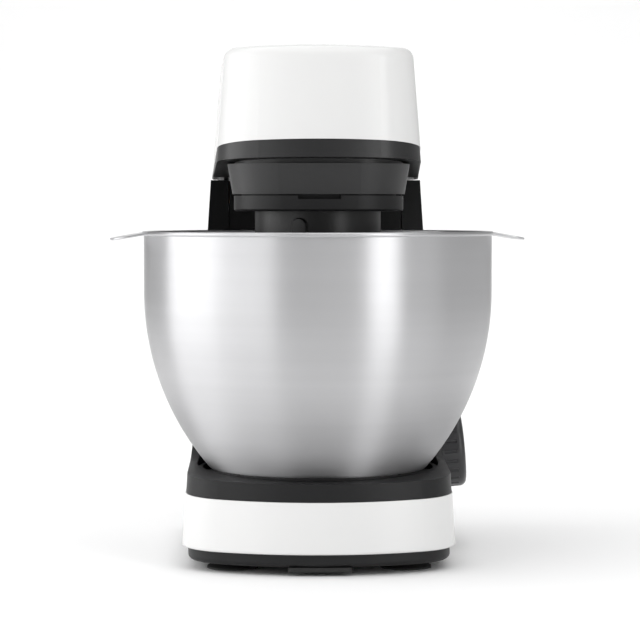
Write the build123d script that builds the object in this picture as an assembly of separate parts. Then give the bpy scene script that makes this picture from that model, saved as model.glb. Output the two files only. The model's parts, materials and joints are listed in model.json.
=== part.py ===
from build123d import *
import math
import os

# Tilt-head stand mixer with a steel bowl, a planetary whisk and a motor in the head.
# Millimetres, +Z up, the front faces -Y. While modelling, the bowl's axis is the line
# x = 0, y = 0; save() then moves every piece so that the footprint is centred.
# The bowl sets the mixer's size: the hinge stands behind and above it, and the head's
# pieces are placed from the hinge pin.

wide = 400.0                  # larger than the mixer, for cutting blocks

# ---- fits ----
fit_gap = 0.3                 # between fixed pieces
running_gap = 0.05            # radial clearance of shafts and pins

# ---- bowl ----
bowl_radius = 104.9           # outside of the straight wall
bowl_rim_z = 197.5            # top of the rolled rim
bowl_base_z = 53.0            # underside of the flat bottom
bowl_straight = 36.5          # length of the straight wall
bowl_bottom_radius = 63.65    # where the curved side would meet the flat bottom
bowl_sheet = 1.0              # sheet thickness
bowl_corner = 9.0             # rounding between side and bottom
rim_roll = 1.3                # radius of the rolled rim
ear_reach = 20.1              # the ears' tips, from the bowl's wall
ear_width = 42.0
ear_corner = 9.5
ear_sheet = 1.2
ear_droop = 10.0              # degrees
bowl_turn = 7.0               # degrees, how the locked bowl stands
recess_gap = 4.0              # between the bowl and the column and tray round it

bowl_wall_z = bowl_rim_z - bowl_straight
bowl_taper = bowl_radius - bowl_bottom_radius
bowl_arc = ((bowl_wall_z - bowl_base_z) ** 2 + bowl_taper**2) / (2 * bowl_taper)

# ---- hinge pin, which places the head ----
pivot_y = bowl_radius + 23.1
pivot_z = bowl_rim_z + 24.5

# ---- base ----
foot_radius = 15.0
foot_height = 5.0             # floor to the underside of the pan
foot_neck = 4.6               # radius of the stem through the pan
foot_x = 51.0
foot_front_y = -45.0
foot_rear_y = pivot_y
pan_floor = 2.4
pan_lip = 6.0                 # the pan reaches this far up inside the skirt
skirt_bottom_z = 12.7
seam_front_z = 42.6           # top of the white skirt at the front
seam_slope = 0.03
seam_line = 0.2               # shadow line between skirt and tray
base_half = bowl_bottom_radius + 17.15   # half width at the skirt's bottom
base_front = -(bowl_radius - 16.9)
base_rear = pivot_y + 40.0
base_bow = 130.0              # plan radius of the front
base_corner = 38.0
base_rear_corner = 30.0
tower_draft = 3.6             # degrees, skirt and column alike
shell_wall = 2.8
pan_inset = 3.5
case_screw_x = 62.0
case_screw_places = (-22.0, 30.0, base_rear - 26.0)
case_boss = 5.0
case_screw_radius = 1.6
pad_half = 18.5
gland_x = 38.0
gland_z = 28.0
gland_hole = 9.4
cord_hole = 3.6
board_z = 18.0
board_half = 40.0
board_front_y = pivot_y - 46.0
board_rear_y = pivot_y - 10.0

# ---- tray and column ----
tray_lip_z = 52.3
tray_floor_z = 50.0
seat_radius = bowl_bottom_radius + 8.85     # round seat in the tray
tray_rise_y = 5.0             # the flanks start to sweep up here
tray_rise_z = 58.0
flank_radius = 84.0
deck_z = pivot_z + 7.6        # top of the column under the head
rear_slope = 48.2             # degrees, the column's sloping back
column_inset = 0.4            # the column stands this far inside the skirt's face
column_split_y = pivot_y + 4.0              # front shell and back cover meet here
back_low_z = 62.0             # lowest edge of the back cover

# ---- bowl lock: lugs on the bowl's foot under tabs on the seat ring ----
foot_ring_outer = bowl_bottom_radius - 5.65
foot_ring_inner = foot_ring_outer - 14.0
foot_ring_z = tray_floor_z + 1.2
lug_radius = seat_radius - 4.1
tab_z = 53.2
tab_height = 1.8
tab_gap = 0.49                # between a tab and the bowl's side
tab_side = bowl_wall_z - tab_z - tab_height
tab_inner = bowl_radius - bowl_arc + math.sqrt(bowl_arc**2 - tab_side**2) + tab_gap
lug_width = 18.0              # degrees
tab_width = 30.0              # degrees
lock_places = (90.0, 210.0, 330.0)

# ---- hinge ----
barrel_radius = 44.0
barrel_half = 55.0
barrel_wall = 2.5
barrel_gap = 2.0              # round the barrel, in the column and in the head
slot_half = 61.2              # half width of the gap for the arms
lobe_radius = 25.0            # locking lobe of the right arm
pin_radius = 5.0
pin_half = 60.9
clip_rim = 1.8
arm_inner_x = 56.2
arm_outer_x = 59.2
arm_eye = 14.0                # radius of the arm round its bush
arm_screw_places = (58.0, 74.0)
arm_screw_z = pivot_z + 21.0
arm_boss = 4.5                # radius of the bosses the arms are clamped to
arm_screw_radius = 1.6
arm_screw_bore = arm_screw_radius + running_gap
bush_radius = 7.5
bracket_half = 51.0
bracket_sheet = 3.0
bracket_z = 22.0              # underside of the bracket's foot
bracket_depth = 12.0          # half its depth
bracket_screw_x = 36.0
bracket_screw_radius = 1.95

# ---- head ----
head_base_z = pivot_z + 8.0   # lowest edge of the head's rear
head_top_z = pivot_z + 87.2
head_peak_y = 20.0
head_front_arc = 900.0
head_rear_arc = 496.0
head_shoulder_y = pivot_y - 33.0
visor_radius = 48.5
visor_angle = 20.0            # degrees, where the top joins the visor's arc
head_half = 60.3              # half width where the front's corners begin
head_rear_half = 66.2         # half width over the column
head_knee_y = pivot_y - 35.0  # the sides run straight back from here
head_knee_radius = 160.0
head_front = -75.6
head_bow = 120.0
head_corner = 36.0
head_draft = 4.6              # degrees
head_crown = 630.0            # radius of the crown across the top
head_skirt = 12.0             # upright part below head_base_z
head_wall = 2.5
head_edge = 7.0               # rounding of the top edge
line_start_y = -74.0          # the two lines below are given at this y
split_front_z = pivot_z + 29.2              # white over dark, at the front
band_front_z = pivot_z + 18.7               # underside of the dark band, at the front
band_rear_z = pivot_z + 7.9
line_level_y = pivot_y - 25.3               # both lines are level behind this
line_run = line_level_y - line_start_y
split_slope = (split_front_z - head_base_z) / line_run
band_slope = (band_front_z - band_rear_z) / line_run
band_wall = 2.8
band_floor = 3.0
band_inset = 0.4
band_end_y = 84.0

# ---- drum, gear cover and gears ----
drum_half = 50.9
drum_front = -64.0
drum_rear = 56.0
drum_corner = 34.0
drum_bottom_z = pivot_z - 2.5
drum_top_z = pivot_z + 15.3
drum_draft = 9.7              # degrees
neck_inset = 1.0
drum_wall = 3.0
cover_bottom_z = pivot_z - 12.5
cover_top_z = pivot_z - 3.4
cover_half = 50.1
notch_width = 25.0
notch_height = 2.0
planet_module = 1.5
ring_teeth = 48
planet_teeth = 18
drive_module = 1.0
drive_teeth = 60
pinion_teeth = 14
ring_pitch = ring_teeth * planet_module / 2
planet_orbit = ring_pitch - planet_teeth * planet_module / 2
drive_distance = (drive_teeth + pinion_teeth) * drive_module / 2
ring_outer = 40.4
ring_width = 8.5
planet_width = 7.0
gear_plate_z = pivot_z + 9.0
gear_plate_thick = 4.0
plate_hub = 14.0              # radius of the plate's bearing hub
neck_radius = 42.7
carrier_radius = 38.0
carrier_bottom_z = pivot_z - 36.0
carrier_top_z = pivot_z - 9.5
ring_bottom_z = carrier_top_z + 1.0
shaft_radius = 4.0
bearing_radius = 11.0
bearing_length = 7.0
bearing_step = 0.5            # shoulder between the two bearings
bearing_z = pivot_z + 1.5     # underside of the lower bearing
spindle_bottom_z = pivot_z - 52.0
boss_radius = 4.75
boss_x = -11.5
boss_proud = 2.6
drive_gear_z = pivot_z + 17.5
drive_gear_width = 7.5

# ---- motor and belt ----
motor_y = 56.0
chassis_z = pivot_z + 37.5
chassis_thick = 3.0
chassis_legs = ((-50.0, 72.0), (50.0, 72.0), (-51.3, -14.0), (51.3, -14.0))
leg_radius = 3.5
stator_radius = 29.0
stator_bore = 17.2
stator_bottom_z = pivot_z + 46.0
stator_top_z = pivot_z + 66.0
rotor_radius = 16.6
rotor_slots = 12
pillar_circle = 33.0
pillar_radius = 2.4
motor_shaft_radius = 3.5
motor_bearing_radius = 8.0
motor_bearing_length = 5.0
bracket_top_z = pivot_z + 75.0
commutator_radius = 8.5
fan_z = chassis_z + 4.3
fan_radius = 24.0
small_pulley = 8.0
large_pulley = 20.0
pulley_z = pivot_z + 27.0
pulley_height = 8.5
pulley_rim = 1.6
belt_width = 6.5
belt_thick = 1.5
belt_gap = 0.25
idler_angle = 153.0           # degrees round the main shaft
idler_radius = 3.0
idler_bush_radius = 4.5

# ---- whisk ----
whisk_hub_bottom_z = pivot_z - 70.0
whisk_hub_top_z = pivot_z - 38.0
whisk_hub_radius = 9.5
hub_cone = 14.0
cross_pin_z = pivot_z - 43.0
cross_pin_radius = 1.5
whisk_centre_z = bowl_base_z + 49.0
whisk_radius = 39.0
wire_root = 5.2               # where the wires enter the hub
wire_radius = 0.8
wire_loops = 4
loop_step = 1.9

# ---- knob and button ----
knob_radius = 24.5
knob_y = bowl_radius - 32.9
knob_z = 58.5
knob_reach = 15.5             # from the side wall to the outer face
knob_lean = 5.0               # degrees
knob_wall = 2.5
knob_edge = 4.0
knob_grooves = 24
groove_radius = 1.3
mark_start = 9.0
mark_end = 21.0
mark_half = 1.2
bezel_radius = 28.0
switch_radius = 3.0           # the switch's shaft
button_z = pivot_z - 54.0
button_radius = 9.0
button_flange = 1.6
pawl_half = 8.0               # half the latch pawl's depth
guide_low_x = 51.0
guide_high_x = 63.0

# the deck's rear corner keeps the same distance from the pin as deck and slope
deck_rear_y = pivot_y + (deck_z - pivot_z) * math.tan(math.radians(rear_slope / 2))
visor_rear = pivot_y + visor_radius
bowl_front = -(bowl_radius + rim_roll)
centre_y = (visor_rear + bowl_front) / 2


def save(name, shape):
    """Write one named piece, moved so that the footprint is centred."""
    export_step(Pos(0, -centre_y, 0) * shape, f"parts/{name}.step")


def rod(radius, bottom, top, x=0.0, y=0.0):
    """An upright cylinder between two heights."""
    return Pos(x, y, (bottom + top) / 2) * Cylinder(radius, top - bottom)


def tube(outer, inner, bottom, top, x=0.0, y=0.0):
    """An upright ring between two heights."""
    return rod(outer, bottom, top, x, y) - rod(inner, bottom - 1, top + 1, x, y)


def cross_rod(radius, start, end, y, z):
    """A cylinder along X between two x values."""
    return Pos((start + end) / 2, y, z) * Rot(0, 90, 0) * Cylinder(radius, end - start)


def block(low, high):
    """A box from its lowest to its highest corner."""
    size = [high[i] - low[i] for i in range(3)]
    middle = [(high[i] + low[i]) / 2 for i in range(3)]
    return Pos(*middle) * Box(*size)


def side_slab(points, low_x=-wide / 2, high_x=wide / 2):
    """A side outline of (y, z) points, run across the mixer."""
    outline = make_face(Polyline(*points, close=True))
    plane = Plane.YZ.offset(low_x)
    return extrude(plane * outline, amount=high_x - low_x)


def rounded_plan(half, front, rear, bow, corner, rear_corner):
    """A plan outline with a bowed front, rounded corners and straight sides."""
    side_y = front + bow - math.sqrt(bow**2 - half**2)
    edges = ThreePointArc((-half, side_y), (0, front), (half, side_y))
    edges += Polyline((half, side_y), (half, rear), (-half, rear), (-half, side_y))
    face = Sketch() + make_face(edges)
    fronts = face.vertices().sort_by(Axis.Y)[:2]
    face = fillet(fronts, corner)
    rears = face.vertices().sort_by(Axis.Y)[-2:]
    return fillet(rears, rear_corner)


# ---- outlines that several pieces share ----
def bowl_form(inset, top=bowl_rim_z):
    """The bowl's outer form as a filled solid; a negative inset makes it larger."""
    centre_r = bowl_radius - bowl_arc
    arc = bowl_arc - inset
    bottom = bowl_base_z + inset
    bottom_r = centre_r + math.sqrt(arc**2 - (bowl_wall_z - bottom) ** 2)
    middle_z = (bottom + bowl_wall_z) / 2
    middle_r = centre_r + math.sqrt(arc**2 - (bowl_wall_z - middle_z) ** 2)
    wall_r = bowl_radius - inset
    outline = Line((0, bottom), (bottom_r, bottom))
    outline += ThreePointArc((bottom_r, bottom), (middle_r, middle_z), (wall_r, bowl_wall_z))
    outline += Polyline((wall_r, bowl_wall_z), (wall_r, top), (0, top), (0, bottom))
    face = Sketch() + make_face(outline)
    corner = face.vertices().sort_by_distance((bottom_r, bottom))[0]
    face = fillet(corner, bowl_corner - inset)
    return revolve(Plane.XZ * face, axis=Axis.Z)


def tower_form(inset):
    """Skirt and column in one tapering block."""
    height = deck_z + 20 - skirt_bottom_z
    plan = rounded_plan(
        base_half - inset,
        base_front + inset,
        base_rear - inset,
        base_bow,
        base_corner - inset,
        base_rear_corner - inset,
    )
    return Pos(0, 0, skirt_bottom_z) * extrude(plan, amount=height, taper=tower_draft)


def tower_half(z):
    """Half width of the tapering block at a height."""
    return base_half - (z - skirt_bottom_z) * math.tan(math.radians(tower_draft))


def seam_z(y):
    """Height of the seam between the skirt and the tray."""
    return seam_front_z + seam_slope * (y - base_front)


def column_outline(inset):
    """The column's and tray's side outline as a cutting slab."""
    line_start = (base_front - 20, tray_lip_z - inset)
    line_end = (tray_rise_y + inset, tray_rise_z - inset)
    start = math.atan2(tray_rise_z - tray_lip_z, tray_rise_y - base_front)
    radius = flank_radius
    rise = radius * math.cos(start)
    run = radius * (1 - math.sin(start))
    front_y = line_end[0] + run
    mid = (start + math.pi / 2) / 2
    arc_mid = (
        line_end[0] + radius * (math.sin(mid) - math.sin(start)),
        line_end[1] + radius * (math.cos(start) - math.cos(mid)),
    )
    arc_end = (front_y, line_end[1] + rise)
    slope_run = 90.0
    slope_drop = slope_run * math.tan(math.radians(rear_slope))
    deck = deck_z - inset
    deck_end = deck_rear_y - inset * math.tan(math.radians(rear_slope / 2))
    outline = Line(line_start, line_end)
    outline += ThreePointArc(line_end, arc_mid, arc_end)
    outline += Polyline(
        arc_end,
        (front_y, deck),
        (deck_end, deck),
        (deck_end + slope_run, deck - slope_drop),
        (deck_end + slope_run, 0),
        (base_front - 20, 0),
        line_start,
    )
    return extrude(Plane.YZ * make_face(outline), amount=wide / 2, both=True)


def column_form(inset):
    """The black tray and column as a filled solid."""
    solid = tower_form(inset) & column_outline(inset)
    solid -= bowl_form(-recess_gap - inset, top=deck_z + 50)
    floor_cut = rod(seat_radius + inset, tray_floor_z - inset, deck_z + 50)
    return solid - floor_cut


def head_outline(inset):
    """The head's side outline: top, shoulder and the visor round the hinge."""
    peak = head_top_z - inset
    front_radius = head_front_arc
    rear_radius = head_rear_arc
    front_y = head_front - 10
    front_z = peak - front_radius + math.sqrt(front_radius**2 - (head_peak_y - front_y) ** 2)
    mid_y = (head_peak_y + front_y) / 2
    mid_z = peak - front_radius + math.sqrt(front_radius**2 - (head_peak_y - mid_y) ** 2)
    turn = math.asin((head_shoulder_y - head_peak_y) / rear_radius)
    shoulder = (head_shoulder_y, peak - rear_radius * (1 - math.cos(turn)))
    quarter = (
        head_peak_y + rear_radius * math.sin(turn / 2),
        peak - rear_radius * (1 - math.cos(turn / 2)),
    )
    radius = visor_radius - inset
    join = math.radians(visor_angle)
    visor_top = (pivot_y + radius * math.cos(join), pivot_z + radius * math.sin(join))
    half_angle = join / 2
    low = head_base_z - head_skirt
    low_angle = math.asin((low - pivot_z) / radius)
    visor_mid = (pivot_y + radius * math.cos(half_angle), pivot_z + radius * math.sin(half_angle))
    visor_low = (pivot_y + radius * math.cos(low_angle), low)
    outline = ThreePointArc((front_y, front_z), (mid_y, mid_z), (head_peak_y, peak))
    outline += ThreePointArc((head_peak_y, peak), quarter, shoulder)
    outline += TangentArc(shoulder, visor_top, tangent=(math.cos(turn), -math.sin(turn)))
    outline += ThreePointArc(visor_top, visor_mid, visor_low)
    outline += Polyline(visor_low, (front_y, low), (front_y, front_z))
    return make_face(outline)


def head_plan(inset):
    """The head's plan: it widens from the bowed front until it is flush with the column."""
    half = head_half - inset
    wide_half = head_rear_half - inset
    front = head_front + inset
    rear = visor_rear + 40
    side_y = front + head_bow - math.sqrt(head_bow**2 - half**2)
    edges = ThreePointArc((-half, side_y), (0, front), (half, side_y))
    edges += Polyline(
        (half, side_y),
        (wide_half, head_knee_y),
        (wide_half, rear),
        (-wide_half, rear),
        (-wide_half, head_knee_y),
        (-half, side_y),
    )
    face = Sketch() + make_face(edges)
    fronts = face.vertices().sort_by(Axis.Y)[:2]
    face = fillet(fronts, head_corner - inset)
    knees = [v for v in face.vertices() if abs(v.Y - head_knee_y) < 1]
    return fillet(knees, head_knee_radius)


def head_form(inset, edge):
    """The head's outer form as a filled solid with a rounded top edge."""
    plan = head_plan(inset)
    height = head_top_z - head_base_z + 5
    block_form = Pos(0, 0, head_base_z) * extrude(plan, amount=height, taper=head_draft)
    lower = Pos(0, 0, head_base_z) * extrude(plan, amount=-head_skirt)
    crown_axis = Axis((0, 0, head_top_z - head_crown), (0, 1, 0))
    sweep = 14.0
    top = revolve(Plane.YZ * head_outline(inset), axis=crown_axis, revolution_arc=sweep)
    top = top.rotate(crown_axis, -sweep / 2)
    solid = (block_form + lower) & top
    if edge == 0:
        return solid
    rims = [e for e in solid.edges() if on_top_rim(e)]
    return fillet(rims, edge)


def on_top_rim(edge):
    """True for the edges where the head's top meets its front and sides."""
    middle = edge.center()
    along = edge.tangent_at(0.5)
    if middle.Z < head_base_z + 4 or abs(along.Z) > 0.97 and abs(middle.Y) < 120:
        return False
    at_side = abs(middle.X) > head_half * 0.6 and abs(along.X) < 0.9
    at_front = middle.Y < head_front + 12 and abs(along.Z) < 0.5
    return at_side or at_front


def slope_z(front_z, slope, y):
    """Height of a line that falls towards the rear of the head."""
    return front_z - slope * (y - line_start_y)


def under_line(front_z, slope, shift=0.0):
    """Everything under a falling line that goes level towards the rear."""
    start = -wide / 2
    level = slope_z(front_z, slope, line_level_y) + shift
    return side_slab(
        [
            (start, slope_z(front_z, slope, start) + shift),
            (line_level_y, level),
            (wide / 2, level),
            (wide / 2, pivot_z - wide / 4),
            (start, pivot_z - wide / 4),
        ]
    )


def drum_plan(half, front, rear, inset):
    """Plan outline of the drum and of the gear cover."""
    corner = drum_corner - inset
    return rounded_plan(half - inset, front + inset, rear - inset, head_bow, corner, corner)


# ---- gears ----
def gear_outline(teeth, module, inner=False):
    """A gear's outline with straight-sided teeth and running backlash."""
    pitch = teeth * module / 2
    sign = -1 if inner else 1
    tip = pitch + sign * 0.85 * module
    root = pitch - sign * 1.2 * module
    step = 2 * math.pi / teeth
    points = []
    for i in range(teeth):
        angle = i * step
        for radius, share in ((root, -0.31), (tip, -0.12), (tip, 0.12), (root, 0.31)):
            turn = angle + share * step
            points.append((radius * math.cos(turn), radius * math.sin(turn)))
    return make_face(Polyline(*points, close=True))


def gear(teeth, module, bottom, top, bore, turn=0.0):
    """A spur gear with a bore, its first tooth pointing along turn degrees."""
    solid = extrude(gear_outline(teeth, module), amount=top - bottom)
    return Pos(0, 0, bottom) * Rot(0, 0, turn) * solid - rod(bore, bottom - 1, top + 1)


def screw(radius, length, head):
    """A pan-head screw pointing down from z = 0."""
    shank = Pos(0, 0, -length / 2) * Cylinder(radius, length)
    cap = Pos(0, 0, head / 2) * Cylinder(radius * 1.9, head)
    slot = Pos(0, 0, head) * Box(radius * 3, radius * 0.5, head)
    return shank + cap - slot


# ---- base pieces ----
def foot_places():
    return [(x, y) for x in (-foot_x, foot_x) for y in (foot_front_y, foot_rear_y)]


def make_suction_feet():
    """Cups with a stem through the pan and a barb above its floor."""
    under_pan = foot_height - 0.1
    barb_z = foot_height + pan_floor + 0.2
    barb_top = barb_z + 2.4
    profile = make_face(
        Polyline(
            (0, 1.6),
            (foot_radius - 2.5, 0),
            (foot_radius, 0),
            (foot_radius, 1.2),
            (foot_radius * 0.6, under_pan),
            (foot_neck, under_pan),
            (foot_neck, barb_z),
            (foot_neck + 1.9, barb_z),
            (foot_neck + 0.4, barb_top),
            (0, barb_top),
            close=True,
        )
    )
    cup = revolve(Plane.XZ * profile, axis=Axis.Z)
    return Compound(children=[Pos(x, y, 0) * cup for x, y in foot_places()])


def pan_plan(inset):
    """Plan outline of the bottom pan."""
    return rounded_plan(
        base_half - pan_inset - inset,
        base_front + pan_inset + inset,
        base_rear - pan_inset - inset,
        base_bow,
        base_corner - pan_inset - inset,
        base_rear_corner - 3 - inset,
    )


def make_bottom_pan():
    outer = Pos(0, 0, foot_height) * extrude(pan_plan(0), amount=skirt_bottom_z - foot_height)
    edge = outer.edges().group_by(Axis.Z)[0]
    outer = fillet(edge, 3.0)
    lip = Pos(0, 0, skirt_bottom_z - 2) * extrude(pan_plan(0.6), amount=pan_lip + 2)
    inner = Pos(0, 0, foot_height + pan_floor) * extrude(pan_plan(3.0), amount=40)
    pan = outer + lip - inner
    for x, y in foot_places():
        pan -= rod(foot_neck + fit_gap, 0, 20, x, y)
    for x, y in board_posts():
        pan += rod(3.0, foot_height + 1, board_z, x, y)
    for x, y in case_screws():
        pan += rod(case_boss, foot_height + 1, skirt_bottom_z, x, y)
        pan -= rod(case_screw_radius + 0.1, 0, 30, x, y)
        pan -= rod(case_screw_radius + 2.0, 0, foot_height + 3.0, x, y)
    return pan - cord_cut(gland_hole + 2.6)


def board_posts():
    """Places of the board's four posts, 6 mm inside its corners."""
    reach = board_half - 6
    return [(x, y) for x in (-reach, reach) for y in (board_front_y + 6, board_rear_y - 6)]


def case_screws():
    return [(x, y) for x in (-case_screw_x, case_screw_x) for y in case_screw_places]


def make_front_pad():
    pad = block((-pad_half, base_front + 4.4, 2.4), (pad_half, base_front + 26, foot_height))
    return fillet(pad.edges().filter_by(Axis.Z), 3.0)


def make_base_shell():
    far = wide / 2
    seam = side_slab([(-far, 0), (-far, seam_z(-far)), (far, seam_z(far)), (far, 0)])
    outer = tower_form(0) & seam
    outer = fillet(outer.edges().group_by(Axis.Z)[0], 1.4)
    shell = outer - tower_form(shell_wall)
    shell -= knob_place() * rod(bezel_radius + fit_gap, -30, 30)
    return shell - cord_cut(gland_hole)


def cord_cut(radius):
    """The hole for the cord's gland, low in the back."""
    return gland_disc(radius, 40, 0)


def gland_disc(radius, length, depth):
    """A cylinder on the gland's axis, its middle at a depth inside the back."""
    return Pos(gland_x, base_rear - depth, gland_z) * Rot(90, 0, 0) * Cylinder(radius, length)


def make_cord_gland():
    gland = gland_disc(gland_hole - 0.2, 10, 3)
    flange = gland_disc(gland_hole + 2.1, 3, 6.4)
    return gland + flange - cord_cut(cord_hole)


def knob_place():
    """Frame of the knob: local +Z points out of the side wall."""
    wall = Pos(tower_half(knob_z), knob_y, knob_z)
    return wall * Rot(0, 90 - knob_lean, 0)


def make_column_shell():
    seam_points = [
        (-wide / 2, seam_z(-wide / 2) + seam_line),
        (-wide / 2, wide),
        (wide / 2, wide),
        (wide / 2, seam_z(wide / 2) + seam_line),
    ]
    above_seam = side_slab(seam_points)
    outer = column_form(column_inset) & above_seam
    shell = outer - column_form(shell_wall + column_inset)
    shell -= hinge_gap()
    shell -= knob_place() * rod(bezel_radius + fit_gap, -30, 30)
    shell -= button_place() * rod(button_radius + fit_gap, -20, 20)
    inside = column_form(column_inset + shell_wall / 2)
    for x, y in case_screws():
        boss = rod(case_boss, skirt_bottom_z + 0.2, seam_z(y) + 10, x, y)
        if y > tray_rise_y + flank_radius:
            side = math.copysign(1, x)
            low_x, high_x = sorted((x, side * tower_half(skirt_bottom_z)))
            boss += block((low_x, y - 1.5, seam_z(y) + 0.5), (high_x, y + 1.5, seam_z(y) + 10))
        shell += (boss & inside) - rod(case_screw_radius + running_gap, 0, seam_z(y) - 2, x, y)
    return shell


def back_region(gap):
    """The part of the column's shell that belongs to the back cover."""
    return block((-wide / 2, column_split_y + gap, back_low_z + gap), (wide / 2, wide, wide))


def hinge_gap():
    """Space cut out of the column round the barrel and the arms."""
    half = barrel_half + 0.6
    barrel_space = cross_rod(barrel_radius + barrel_gap, -half, half, pivot_y, pivot_z)
    lobe_space = cross_rod(lobe_radius + barrel_gap, 0, slot_half, pivot_y, pivot_z)
    plain_space = cross_rod(arm_eye + barrel_gap, -slot_half, 0, pivot_y, pivot_z)
    return barrel_space + lobe_space + plain_space


def button_place():
    """Frame of the release button: local +Z points out of the side wall."""
    return Pos(tower_half(button_z), pivot_y, button_z) * Rot(0, 90, 0)


def make_hinge_barrel():
    outer = cross_rod(barrel_radius, -barrel_half, barrel_half, pivot_y, pivot_z)
    front = rod(bowl_radius + recess_gap, 0, wide)
    outer -= front
    inner_radius = barrel_radius - barrel_wall
    inner_half = barrel_half - barrel_wall
    inner = cross_rod(inner_radius, -inner_half, inner_half, pivot_y, pivot_z)
    inner -= rod(bowl_radius + recess_gap + barrel_wall, 0, wide)
    barrel = outer - inner
    barrel -= cross_rod(pin_radius + running_gap, -wide, wide, pivot_y, pivot_z)
    reach = bracket_half + 1
    depth = bracket_depth + 1
    low = pivot_z - barrel_radius - 28
    window = block((-reach, pivot_y - depth, low), (reach, pivot_y + depth, pivot_z - 20))
    return barrel - window


def make_hinge_bracket():
    """Steel bracket that carries the pin, bolted to the base."""
    front = pivot_y - bracket_depth
    rear = pivot_y + bracket_depth
    top = bracket_z + bracket_sheet
    inside = bracket_half - bracket_sheet
    bracket = block((-bracket_half, front, bracket_z), (bracket_half, rear, top))
    for side in (-1, 1):
        low, high = sorted((side * inside, side * bracket_half))
        bracket += block((low, front, bracket_z), (high, rear, pivot_z))
        bracket += cross_rod(bracket_depth, low, high, pivot_y, pivot_z)
    brace_z = (bracket_z + pivot_z) / 2 - 32
    bracket += block((-inside, pivot_y - 2, brace_z), (inside, pivot_y + 2, brace_z + 20))
    bracket -= cross_rod(pin_radius, -wide, wide, pivot_y, pivot_z)
    for x in (-bracket_screw_x, bracket_screw_x):
        bracket += rod(6, foot_height + pan_floor, top, x, pivot_y)
        bracket -= rod(bracket_screw_radius + running_gap, 0, top + 15, x, pivot_y)
    return bracket


def make_pin_clips():
    clips = []
    for side in (-1, 1):
        start = side * (arm_outer_x + 0.2)
        low, high = sorted((start, start + side * 1.0))
        ring = cross_rod(pin_radius + clip_rim, low, high, pivot_y, pivot_z)
        clips.append(ring - cross_rod(pin_radius, -wide, wide, pivot_y, pivot_z))
    return Compound(children=clips)


def make_seat_ring():
    """Ring on the tray floor with three tabs that hold the bowl's lugs."""
    outer = seat_radius - fit_gap
    ring = tube(outer, outer - 2.6, tray_floor_z, tab_z + 2)
    ring += tube(outer, foot_ring_outer, tray_floor_z, tray_floor_z + 0.8)
    tabs = tube(outer - 1, tab_inner, tab_z, tab_z + tab_height)
    for place in lock_places:
        ring += tabs & wedge(place, tab_width)
    return ring


def wedge(angle, width):
    """A sector of the plan, width degrees wide, round the bowl's axis."""
    reach = bowl_radius
    half = math.radians(width / 2)
    points = [(0, 0), (reach, -reach * math.tan(half)), (reach, reach * math.tan(half))]
    face = make_face(Polyline(*points, close=True))
    return Rot(0, 0, angle) * extrude(face, amount=wide)


def make_bowl_foot():
    """Flat ring under the bowl with three lugs."""
    foot = tube(foot_ring_outer, foot_ring_inner, foot_ring_z, bowl_base_z)
    lug_ring = tube(lug_radius, foot_ring_inner + 6, foot_ring_z, tab_z - 0.4)
    for place in lock_places:
        foot += (lug_ring & wedge(place, lug_width)) - bowl_form(-running_gap)
    return foot


def make_bowl():
    solid = bowl_form(0, top=bowl_rim_z - rim_roll)
    roll_profile = Pos(bowl_radius, bowl_rim_z - rim_roll) * Circle(rim_roll)
    solid += revolve(Plane.XZ * roll_profile, axis=Axis.Z)
    root = bowl_radius - 3
    length = ear_reach + 3
    outline = Pos(root + length / 2, 0) * RectangleRounded(length, ear_width, ear_corner)
    outline += Pos(root + length / 4, 0) * Rectangle(length / 2, ear_width)
    ear = Pos(0, 0, -ear_sheet / 2) * extrude(outline, amount=ear_sheet)
    hinge_line = Axis((bowl_radius, 0, 0), (0, 1, 0))
    ear = Pos(0, 0, bowl_rim_z - rim_roll) * ear.rotate(hinge_line, ear_droop)
    for turn in (0, 180):
        solid += Rot(0, 0, turn) * ear
    solid -= bowl_form(bowl_sheet, top=bowl_rim_z + 30)
    return Rot(0, 0, bowl_turn) * solid


# ---- knob, switch and button ----
def make_knob():
    knob = rod(knob_radius, 1.2, knob_reach)
    knob = fillet(knob.edges().group_by(Axis.Z)[-1], knob_edge)
    groove = rod(groove_radius, 2.4, knob_reach - knob_edge - 1, knob_radius + 0.6)
    for i in range(knob_grooves):
        knob -= Rot(0, 0, i * 360 / knob_grooves) * groove
    knob -= rod(knob_radius - knob_wall, 0, knob_reach - 3) - rod(switch_radius * 2, 0, knob_reach)
    knob -= rod(switch_radius, -1, knob_reach - 4)
    return knob_place() * (knob - pointer_mark(1.0))


def pointer_mark(proud):
    """The pointer's bar on the knob's face, in the knob's own frame."""
    low = (mark_start, -mark_half, knob_reach - 0.8)
    return block(low, (mark_end, mark_half, knob_reach + proud))


def make_pointer():
    return knob_place() * pointer_mark(0.2)


def make_bezel():
    bezel = rod(bezel_radius, -4.5, 0.8)
    bezel = fillet(bezel.edges().group_by(Axis.Z)[-1], 0.7)
    bezel += rod(bezel_radius - 3, -8, -4)
    bezel -= rod(switch_radius * 1.5, -20, 20)
    return knob_place() * (bezel - rod(bezel_radius - 5, -20, -3))


def make_switch():
    body = block((-9, -9, -20), (9, 9, -9))
    neck = rod(switch_radius * 2, -9, -3.2)
    return knob_place() * (body + neck - rod(switch_radius + running_gap, -18, 20))


def make_switch_shaft():
    return knob_place() * rod(switch_radius, -17.5, knob_reach - 4)


def make_button():
    cap = rod(button_radius, -3.2, 3.4)
    cap = fillet(cap.edges().group_by(Axis.Z)[-1], 1.4)
    stem = rod(4.0, -11.4, -3)
    flange = rod(button_radius + button_flange, -6.8, -5.0)
    stem += rod(button_radius - 1, -6, -3)
    return button_place() * (cap + stem + flange)


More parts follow.
